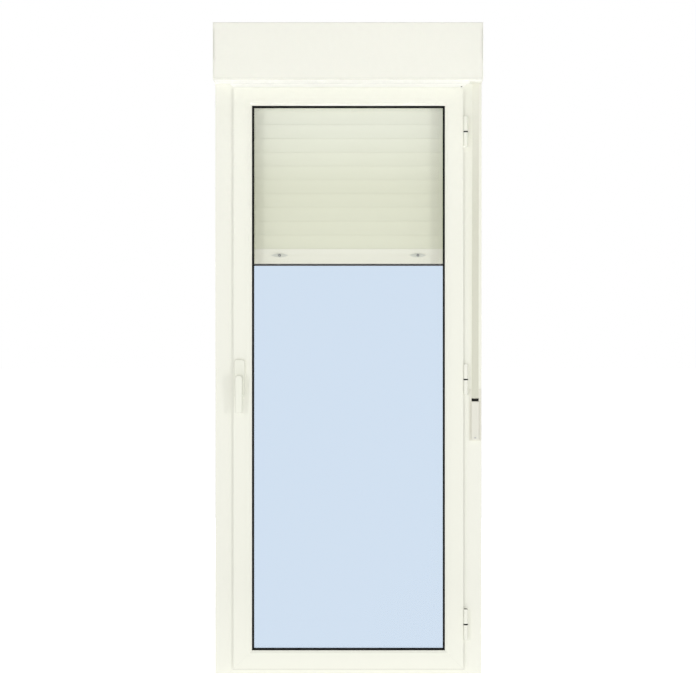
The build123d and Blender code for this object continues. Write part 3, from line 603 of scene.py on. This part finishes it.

# Strap winder
# A moulded plate on the right post with a raised cover over the spring drum. The strap goes in
# over the black lip of the window, and one screw at the foot holds the cover. The lip is a real
# lip, and its black below the strap is also painted shade for the dark inside of the window.
WINDER_WHITE = (0.77, 0.76, 0.67, 1.0)
WINDER_ROUGH = 0.35
LIP_ROUGH = 0.45
WINDOW_CLEAR = 0.001
WINDOW_HEIGHT = 0.012
LIP_GAP = 0.0005
LIP_DROP = 0.0037
LIP_PROUD = 0.0004
LIP_DIP = 0.0012
DIP_SHARE = 0.45
WINDER_SCREW = 0.0030
WINDER_SCREW_HEIGHT = 0.0010
WINDER_SCREW_RISE = 0.008
winder_plastic = moulded_plastic("winder_plastic", WINDER_WHITE, WINDER_ROUGH)
paint(winder_plastic, "winder_plate", "winder_cover")
black_plastic = rubber("black_plastic", SEAL_BLACK, LIP_ROUGH)
cover_low, cover_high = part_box("winder_cover")
window_half = strap_half + WINDOW_CLEAR - LIP_GAP
dip_half = DIP_SHARE * window_half
lip_top = cover_high.z + WINDOW_HEIGHT - LIP_DROP
lip_edge = [
    (-window_half, cover_high.z), (window_half, cover_high.z), (window_half, lip_top),
    (dip_half, lip_top - LIP_DIP), (-dip_half, lip_top - LIP_DIP), (-window_half, lip_top),
]
shape = bmesh.new()
front = []
back = []
for u, z in lip_edge:
    front.append(shape.verts.new((strap_middle + u, winder_low.y - LIP_PROUD, z)))
    back.append(shape.verts.new((strap_middle + u, winder_high.y - LIP_GAP, z)))
shape.faces.new(front)
shape.faces.new(reversed(back))
join_rings(shape, [front, back])
bmesh.ops.recalc_face_normals(shape, faces=shape.faces)
# The black lip also stands in, as painted shade, for the dark inside of the window.
add_piece("winder_lip", finished("lip", shape), black_plastic, "frame")
screw_z = cover_low.z + WINDER_SCREW_RISE
winder_screw = facing((strap_middle, cover_low.y, screw_z), INDOORS)
screw = screw_head(WINDER_SCREW, WINDER_SCREW_HEIGHT, winder_screw)
add_piece("winder_screw", screw, screw_steel, "frame")

# Leaf
# Hollow aluminium stiles and rails, mitred at the corners like the frame, with clipped-in glazing
# beads. A seal runs behind the overlap, black wedges hold the glass, and a plug fills a corner.
LEAF_WHITE = (0.855, 0.858, 0.764, 1.0)
leaf_lacquer = lacquer("leaf_lacquer", LEAF_WHITE, frame_half, frame_height)
for side in ("lock_stile", "hinge_stile", "top_rail", "bottom_rail"):
    paint(leaf_lacquer, "leaf_" + side)
for side in ("left", "right", "top", "bottom"):
    paint(leaf_lacquer, "glazing_bead_" + side)
paint(black_rubber, "leaf_gasket", "inner_glass_gasket", "outer_glass_gasket")

PLUG_HALF = 0.0028
PLUG_DEPTH_HALF = 0.0022
PLUG_RISE = 0.0030
PLUG_SINK = 0.0005
PLUG_INSET = 0.0060
PLUG_BACK = 0.003
PLUG_ROUND = 0.0006
leaf_low, leaf_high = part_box("leaf_hinge_stile")
plug_z = leaf_high.z + PLUG_RISE / 2 - PLUG_SINK
plug_place = Matrix.Translation((leaf_high.x - PLUG_INSET, leaf_low.y + PLUG_BACK, plug_z))
plug_size = Matrix.Diagonal((PLUG_HALF, PLUG_DEPTH_HALF, PLUG_RISE / 2 + PLUG_SINK, 1.0))
shape = bmesh.new()
bmesh.ops.create_cube(shape, size=2.0)
bmesh.ops.transform(shape, matrix=plug_place @ plug_size, verts=shape.verts)
bmesh.ops.bevel(shape, geom=shape.edges[:], offset=PLUG_ROUND, segments=2, affect="EDGES")
add_piece("leaf_corner_plug", finished("plug", shape), black_plastic, "leaf")

# Double glazing
# Two panes of clear float glass on an aluminium spacer. The spacer's face to the gap is pricked
# with rows of small holes for the drying beads inside.
GLASS_TINT = (0.985, 0.992, 0.990, 1.0)
GLASS_IOR = 1.35
glass, glass_place = new_finish("clear_glass")
straight = glass_place.add("LightPath", out="Is Camera Ray")
through = glass_place.add("LightPath", out="Is Transmission Ray")
body_glass = glass_place.add("BsdfPrincipled", None, {
    "Base Color": GLASS_TINT, "Roughness": 0.0, "Transmission Weight": 1.0, "IOR": GLASS_IOR,
})
clear_glass = glass_place.add("BsdfTransparent", None, {"Color": GLASS_TINT})
seen = straight.math("MAXIMUM", straight, through)
mixed = glass_place.add("MixShader", None, {"Fac": seen, 1: clear_glass, 2: body_glass})
glass_place.add("OutputMaterial", None, {"Surface": mixed})
paint(glass, "inner_glass_pane", "outer_glass_pane")

SPACER_GREY = (0.70, 0.71, 0.72, 1.0)
HOLE_BLACK = (0.08, 0.08, 0.08, 1.0)
HOLE_PITCH = 0.003
HOLE_FROM = 0.8
SPACER_METAL = 0.9
SPACER_ROUGH = 0.32
SPACER_ROUGH_SPREAD = 0.15
SPACER_PER_METRE = 300.0
spacer_metal, spacer_place = new_finish("spacer_aluminium")
turns_x = spacer_place.axis("X") / HOLE_PITCH * (2 * math.pi)
turns_z = spacer_place.axis("Z") / HOLE_PITCH * (2 * math.pi)
wave = turns_x.math("SINE", turns_x) * turns_z.math("SINE", turns_z)
holes = wave > HOLE_FROM
spacer_place.surface({
    "Base Color": holes.between(SPACER_GREY, HOLE_BLACK),
    "Metallic": SPACER_METAL,
    "Roughness": SPACER_ROUGH + SPACER_ROUGH_SPREAD * spacer_place.noise(SPACER_PER_METRE),
})
paint(spacer_metal, "glass_spacer")

# Hinges
# Three surface hinges in two extruded halves, lacquered like the leaf, with a pin through both
# and a black washer between. A plastic cap closes the top of each, black on the lowest hinge.
CAP_WHITE = (0.78, 0.78, 0.70, 1.0)
CAP_ROUGH = 0.45
CAP_RADIUS = 0.0064
CAP_SHOULDER = 0.00084
CAP_BEVEL_RADIUS = 0.00576
CAP_BEVEL = 0.00126
CAP_TOP_RADIUS = 0.00448
CAP_HEIGHT = 0.0014
cap = [
    (CAP_RADIUS, 0.0), (CAP_RADIUS, CAP_SHOULDER), (CAP_BEVEL_RADIUS, CAP_BEVEL),
    (CAP_TOP_RADIUS, CAP_HEIGHT),
]
white_cap = moulded_plastic("cap_plastic", CAP_WHITE, CAP_ROUGH)
hinge_lacquer = lacquer("hinge_lacquer", LEAF_WHITE)
paint(black_plastic, "hinge_washers")
washer_low, washer_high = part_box("hinge_washers")
pin_x = (washer_low.x + washer_high.x) / 2
pin_y = (washer_low.y + washer_high.y) / 2
for level, finish, slot in (
    ("bottom", black_plastic, "black_plastic"),
    ("middle", white_cap, "winder_plastic"),
    ("top", white_cap, "winder_plastic"),
):
    leaf_half = level + "_hinge_leaf_half"
    paint(hinge_lacquer, level + "_hinge_frame_half", leaf_half)
    seat = Matrix.Translation((pin_x, pin_y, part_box(leaf_half)[1].z))
    add_piece(level + "_hinge_cap", turned(cap, seat), finish, "leaf")

# Handle
# A die-cast lever on a slim base plate, lacquered like the leaf. The lever is rounded to the
# hand, stands off on a neck and hangs down when the door is shut.
HANDLE_WHITE = (0.835, 0.842, 0.740, 1.0)
HEAD_RADIUS = 0.0125
HEAD_STEPS = 20
TIP_HALF = 0.0115
TIP_ROUND = 0.0050
TIP_STEPS = 8
LEVER_THICK = 0.0140
TIP_THICK = 0.0090
FRONT_ROUND = 0.0042
BACK_ROUND = 0.0016
BASE_GAP = 0.0003
NECK_RADIUS = 0.0090
NECK_FLARE = 0.0018
FLARE_START = 0.3
NECK_SINK = 0.001
NECK_STEPS = 40
handle_lacquer = lacquer("handle_lacquer", HANDLE_WHITE)
paint(handle_lacquer, "handle_base")
lever_low, lever_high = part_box("handle_lever")
axis_x = (lever_low.x + lever_high.x) / 2
axis_z = lever_high.z - HEAD_RADIUS
lever_back = lever_low.y + LEVER_THICK
reach = axis_z - lever_low.z


def lever_ring(shape, inset, depth_at):
    """The lever's outline from the front, drawn in by an inset. Its depth varies with height."""
    tip_x, tip_z = TIP_HALF - TIP_ROUND, TIP_ROUND - reach
    corners = [
        (0.0, 0.0, HEAD_RADIUS, 0.0, 180.0, HEAD_STEPS),
        (-tip_x, tip_z, TIP_ROUND, 180.0, 270.0, TIP_STEPS),
        (tip_x, tip_z, TIP_ROUND, 270.0, 360.0, TIP_STEPS),
    ]
    ring = []
    for x, z, radius, start, end, steps in corners:
        for step in range(steps + 1):
            angle = math.radians(start + (end - start) * step / steps)
            u = x + (radius - inset) * math.cos(angle)
            v = z + (radius - inset) * math.sin(angle)
            ring.append(shape.verts.new((axis_x + u, depth_at(v), axis_z + v)))
    return ring


def lever_front(v):
    """Depth of the lever's front at a height above its axis."""
    share = (HEAD_RADIUS - v) / (HEAD_RADIUS + reach)
    return lever_back - LEVER_THICK + share * (LEVER_THICK - TIP_THICK)


shape = bmesh.new()
rings = []
for turn in (90.0, 60.0, 30.0, 0.0):
    swing = math.radians(turn)
    inset = BACK_ROUND * (1 - math.cos(swing))
    rise = BACK_ROUND * (1 - math.sin(swing))
    rings.append(lever_ring(shape, inset, lambda v, rise=rise: lever_back - rise))
for turn in (0.0, 15.0, 30.0, 45.0, 60.0, 75.0, 90.0):
    swing = math.radians(turn)
    inset = FRONT_ROUND * (1 - math.cos(swing))
    rise = FRONT_ROUND * (1 - math.sin(swing))
    rings.append(lever_ring(shape, inset, lambda v, rise=rise: lever_front(v) + rise))
join_rings(shape, rings)
shape.faces.new(rings[0])
shape.faces.new(rings[-1])
bmesh.ops.recalc_face_normals(shape, faces=shape.faces)
grip = finished("lever", shape)
lever = add_piece("lever_grip", grip, handle_lacquer, "handle")
neck_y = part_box("handle_base")[0].y - BASE_GAP
stand = neck_y - lever_back
neck = [
    (NECK_RADIUS, 0.0), (NECK_RADIUS, stand - 2 * NECK_FLARE),
    (NECK_RADIUS + FLARE_START * NECK_FLARE, stand - NECK_FLARE),
    (NECK_RADIUS + NECK_FLARE, stand + NECK_SINK),
]
neck_mesh = turned(neck, facing((axis_x, neck_y, axis_z), INDOORS), NECK_STEPS)
add_piece("lever_neck", neck_mesh, handle_lacquer, "handle")
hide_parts("handle_lever")

# Studio
# A pale floor and a white surround, with pale blue sky through the glass. Small softboxes stand
# to the left and right, fills in front, behind and above, and a narrow beam under the box.
PAPER_WHITE = (1.0, 1.0, 1.0, 1.0)
SKY_BLUE = (0.630, 0.742, 0.890, 1.0)
AMBIENT = (0.36, 0.36, 0.36, 1.0)
FLOOR_TONE = (0.80, 0.80, 0.80, 1.0)
FLOOR_GLOW = (0.45, 0.45, 0.45, 1.0)
FLOOR_WHITE = (0.75, 0.75, 0.75, 1.0)
FLOOR_HALF = 300.0

studio = bpy.data.worlds.new("studio")
bpy.context.scene.world = studio
studio.use_nodes = True
studio.node_tree.nodes.clear()
light = Shade(studio.node_tree)
straight = light.add("LightPath", out="Is Camera Ray")
through = light.add("LightPath", out="Is Transmission Ray")
mirror = light.add("LightPath", out="Is Glossy Ray")
surround = through.between(mirror.between(AMBIENT, PAPER_WHITE), SKY_BLUE)
surround = straight.between(surround, PAPER_WHITE)
background = light.add("Background", None, {"Color": surround, "Strength": 1.0})
light.add("OutputWorld", None, {"Surface": background})

floor_finish, floor_place = new_finish("floor_paper")
straight = floor_place.add("LightPath", out="Is Camera Ray")
through = floor_place.add("LightPath", out="Is Transmission Ray")
mirror = floor_place.add("LightPath", out="Is Glossy Ray")
paper = floor_place.add("BsdfDiffuse", None, {"Color": FLOOR_TONE})
glow_tone = straight.between(FLOOR_GLOW, FLOOR_WHITE)
glow = floor_place.add("Emission", None, {"Color": glow_tone, "Strength": 1.0})
lit_paper = floor_place.add("AddShader", None, {0: paper, 1: glow})
far_tone = through.between(PAPER_WHITE, SKY_BLUE)
far_glow = floor_place.add("Emission", None, {"Color": far_tone, "Strength": 1.0})
away = through.math("MAXIMUM", through, mirror)
shown = floor_place.add("MixShader", None, {"Fac": away, 1: lit_paper, 2: far_glow})
floor_place.add("OutputMaterial", None, {"Surface": shown})
shape = bmesh.new()
bmesh.ops.create_grid(shape, x_segments=4, y_segments=4, size=FLOOR_HALF)
floor_mesh = finished("floor", shape)
floor_mesh.materials.append(floor_finish)
floor = bpy.data.objects.new("floor", floor_mesh)
bpy.context.scene.collection.objects.link(floor)


def softbox(name, place, aim, size, share, depth=None, spread=180.0):
    """A lamp that gives a pale surface this share of its full light. No glass mirrors it.

    It is square unless it has a depth, and its spread in degrees can narrow it to a beam.
    """
    lamp = bpy.data.lights.new(name, "AREA")
    lamp.shape = "RECTANGLE"
    lamp.size = size
    lamp.size_y = depth or size
    lamp.spread = math.radians(spread)
    lamp.energy = share * (math.pi * (Vector(aim) - Vector(place)).length) ** 2
    holder = bpy.data.objects.new(name, lamp)
    holder.location = place
    holder.rotation_mode = "QUATERNION"
    holder.rotation_quaternion = (Vector(place) - Vector(aim)).to_track_quat("Z", "Y")
    holder.visible_camera = False
    holder.visible_glossy = False
    holder.visible_transmission = False
    bpy.context.scene.collection.objects.link(holder)


def beside(angle, distance, height):
    """A place in front of the door, turned from straight ahead by an angle to the right."""
    turn = math.radians(angle)
    return (distance * math.sin(turn), -distance * math.cos(turn), height)


DOOR_MIDDLE = (0.0, 0.0, 1.05)
BOX_TOP = (0.0, 0.0, cad_high.z)
BOX_UNDERSIDE = (0.0, -0.08, 1.99)
left_place = beside(angle=-27.0, distance=4.6, height=1.15)
right_place = beside(angle=34.0, distance=4.2, height=1.05)
front_place = beside(angle=0.0, distance=7.0, height=0.95)
back_place = beside(angle=180.0, distance=6.0, height=1.30)
top_place = beside(angle=180.0, distance=0.45, height=3.30)
foot_place = beside(angle=0.0, distance=0.35, height=0.10)
softbox("left_softbox", left_place, DOOR_MIDDLE, size=0.25, share=0.118)
softbox("right_softbox", right_place, DOOR_MIDDLE, size=0.40, share=0.125)
softbox("front_fill", front_place, DOOR_MIDDLE, size=0.8, share=0.213)
softbox("back_fill", back_place, DOOR_MIDDLE, size=2.0, share=0.25)
softbox("top_fill", top_place, BOX_TOP, size=0.9, share=0.35)
softbox("foot_fill", foot_place, BOX_UNDERSIDE, size=1.0, share=0.005, depth=0.08, spread=12.0)

# Camera
# It stands level, a little to the right of the middle of the door, with its lens shifted so that
# the uprights stay upright.
CAMERA_DISTANCE = 6.03
CAMERA_HEIGHT = 1.05
CAMERA_ACROSS = 0.090
VIEW_ACROSS = -0.0015
VIEW_MIDDLE = 1.1015
VIEW_WIDTH = 2.3532
SENSOR = 36.0
LEVEL = math.radians(90.0)
frame_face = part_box("frame_sill")[0].y
lens = bpy.data.cameras.new("camera")
lens.sensor_width = SENSOR
lens.lens = SENSOR * CAMERA_DISTANCE / VIEW_WIDTH
lens.shift_x = (VIEW_ACROSS - CAMERA_ACROSS) / VIEW_WIDTH
lens.shift_y = (VIEW_MIDDLE - CAMERA_HEIGHT) / VIEW_WIDTH
camera = bpy.data.objects.new("camera", lens)
camera.location = (CAMERA_ACROSS, frame_face - CAMERA_DISTANCE, CAMERA_HEIGHT)
camera.rotation_euler = (LEVEL, 0.0, 0.0)
bpy.context.scene.collection.objects.link(camera)
bpy.context.scene.camera = camera
bpy.context.scene.view_settings.view_transform = "Standard"
